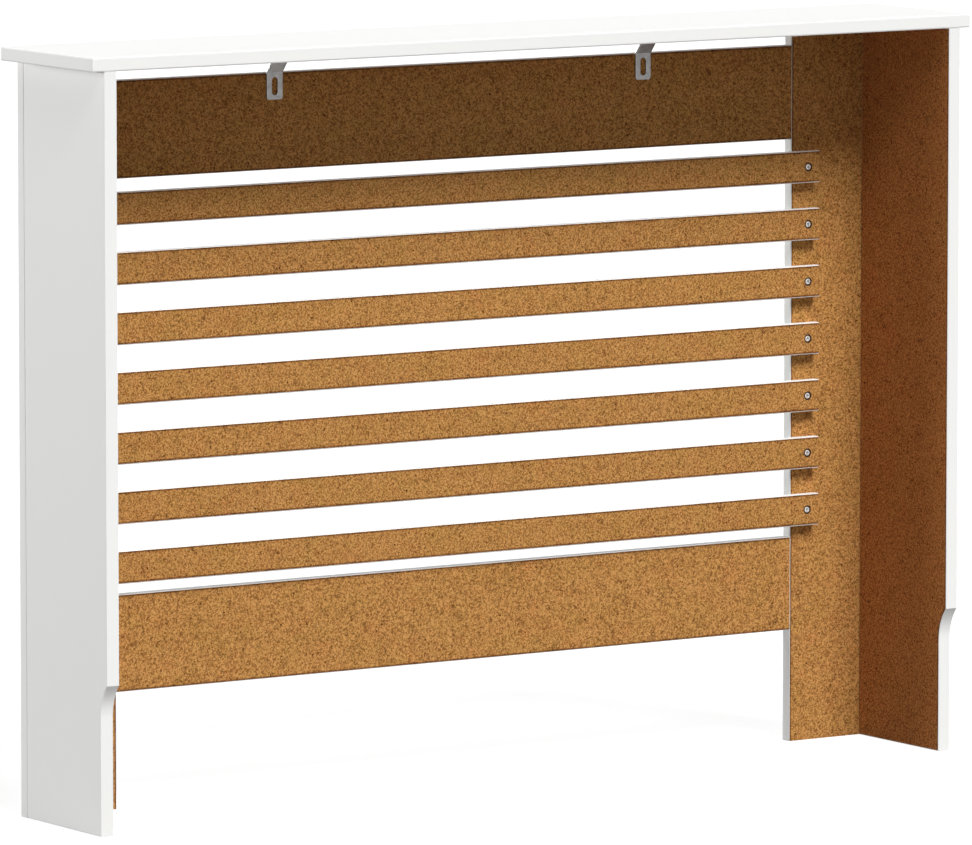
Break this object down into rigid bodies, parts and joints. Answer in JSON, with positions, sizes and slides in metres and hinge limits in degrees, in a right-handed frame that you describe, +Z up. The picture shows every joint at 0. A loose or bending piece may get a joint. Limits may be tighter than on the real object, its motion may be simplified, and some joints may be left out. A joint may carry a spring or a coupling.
{
  "type": "radiator cover cabinet",
  "caption": "Open-backed radiator cover: white shelf on two side panels, with a front frame of stiles and rails carrying a screen of horizontal slats.",
  "frame": {"origin": "on the floor, under the centre of the shelf's 1120 by 188 mm plan", "axes": "+Z up, +Y towards the wall, -Y into the room, X along the width. Node names call the +X side left: it is on the left of the picture, which is taken from the wall side."},
  "size_m": [1.12, 0.188, 0.815],
  "materials": {
    "shelf_white": "satin white foil over fibreboard, raw brown board underneath",
    "side_board": "satin white foil outside and on the edges, raw brown fibreboard inside",
    "frame_board": null,
    "slat_board": null,
    "strap_zinc": "bright zinc-plated steel strip, lightly mottled",
    "screw_zinc": "zinc-plated steel screw",
    "dowel_beech": "plain beech"
  },
  "bodies": {
    "root": {"shelf": "shelf_white", "side_panel_left": "side_board", "front_stile_left": "frame_board", "side_panel_right": "side_board", "front_stile_right": "frame_board", "top_rail": "frame_board", "bottom_rail": "frame_board", "slat_1": "slat_board", "slat_screw_1_left": "screw_zinc", "slat_screw_1_right": "screw_zinc", "slat_2": "slat_board", "slat_screw_2_left": "screw_zinc", "slat_screw_2_right": "screw_zinc", "slat_3": "slat_board", "slat_screw_3_left": "screw_zinc", "slat_screw_3_right": "screw_zinc", "slat_4": "slat_board", "slat_screw_4_left": "screw_zinc", "slat_screw_4_right": "screw_zinc", "slat_5": "slat_board", "slat_screw_5_left": "screw_zinc", "slat_screw_5_right": "screw_zinc", "slat_6": "slat_board", "slat_screw_6_left": "screw_zinc", "slat_screw_6_right": "screw_zinc", "slat_7": "slat_board", "slat_screw_7_left": "screw_zinc", "slat_screw_7_right": "screw_zinc", "strap_left": "strap_zinc", "strap_screw_left": "screw_zinc", "rail_dowel_left_1": "dowel_beech", "rail_dowel_left_2": "dowel_beech", "rail_dowel_left_3": "dowel_beech", "rail_dowel_left_4": "dowel_beech", "panel_dowel_left_1": "dowel_beech", "panel_dowel_left_2": "dowel_beech", "panel_dowel_left_3": "dowel_beech", "shelf_dowel_left_1": "dowel_beech", "shelf_dowel_left_2": "dowel_beech", "stile_dowel_left": "dowel_beech", "strap_right": "strap_zinc", "strap_screw_right": "screw_zinc", "rail_dowel_right_1": "dowel_beech", "rail_dowel_right_2": "dowel_beech", "rail_dowel_right_3": "dowel_beech", "rail_dowel_right_4": "dowel_beech", "panel_dowel_right_1": "dowel_beech", "panel_dowel_right_2": "dowel_beech", "panel_dowel_right_3": "dowel_beech", "shelf_dowel_right_1": "dowel_beech", "shelf_dowel_right_2": "dowel_beech", "stile_dowel_right": "dowel_beech"}
  },
  "joints": []
}
